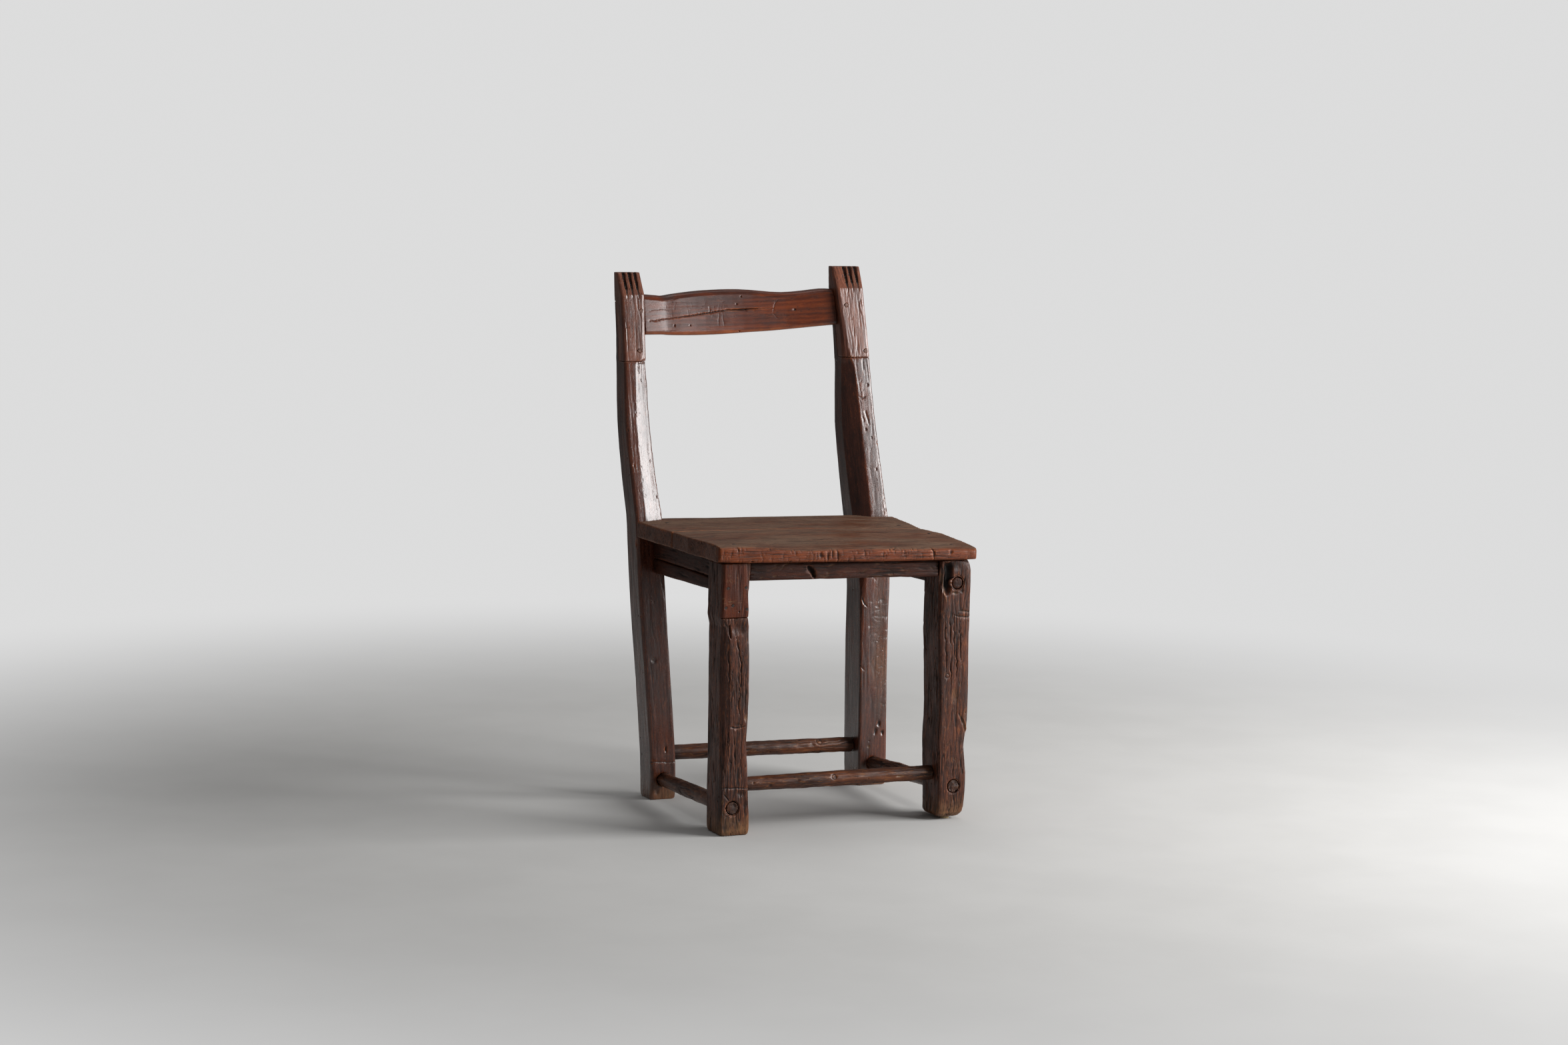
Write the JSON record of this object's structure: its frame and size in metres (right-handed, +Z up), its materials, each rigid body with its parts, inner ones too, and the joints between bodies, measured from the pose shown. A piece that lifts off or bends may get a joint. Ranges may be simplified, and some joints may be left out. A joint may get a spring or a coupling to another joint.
{
  "type": "rustic wooden chair",
  "caption": "Rustic side chair with hewn legs, raked posts with carved tops, bowed crest rail, plank seat and round stretchers, worn and patched.",
  "frame": {"origin": "on the floor under the middle of the chair's bounding box", "axes": "+Z up, the chair faces -Y, +X to the right of someone who looks at its front"},
  "size_m": [0.435, 0.4221, 0.8],
  "materials": {
    "hewn_leg_wood": "old waxed hardwood, worn and checked",
    "post_wood": "dark waxed hardwood, rubbed glossy on its chamfers",
    "post_top_wood": "waxed hardwood, a little lighter than the posts",
    "crest_wood": "waxed reddish hardwood with a long check",
    "seat_wood": "dusty worn board tops over orange-brown edges",
    "rail_wood": "dull dark sawn wood",
    "stretcher_wood": "shaved round bars, rubbed and knotty",
    "peg_wood": "dark end grain",
    "glide_wood": "pale bare wood",
    "nail_iron": "dark rusted iron"
  },
  "bodies": {
    "root": {"front_leg_left": "hewn_leg_wood", "front_leg_right": "hewn_leg_wood", "rear_post_left": "post_wood", "rear_post_right": "post_wood", "post_top_left": "post_top_wood", "post_top_right": "post_top_wood", "splice_pegs_left": "peg_wood", "splice_pegs_right": "peg_wood", "crest_rail": "crest_wood", "seat_board_front": "seat_wood", "seat_board_rear": "seat_wood", "seat_nails": "nail_iron", "seat_rail_front": "rail_wood", "seat_rail_rear": "rail_wood", "side_rail_left": "rail_wood", "side_rail_right": "rail_wood", "packing_strip_left": "rail_wood", "packing_strip_right": "rail_wood", "stretcher_front": "stretcher_wood", "stretcher_rear": "stretcher_wood", "stretcher_left": "stretcher_wood", "stretcher_right": "stretcher_wood", "leg_patch": "hewn_leg_wood", "patch_nails": "nail_iron", "foot_glide": "glide_wood"}
  },
  "joints": []
}
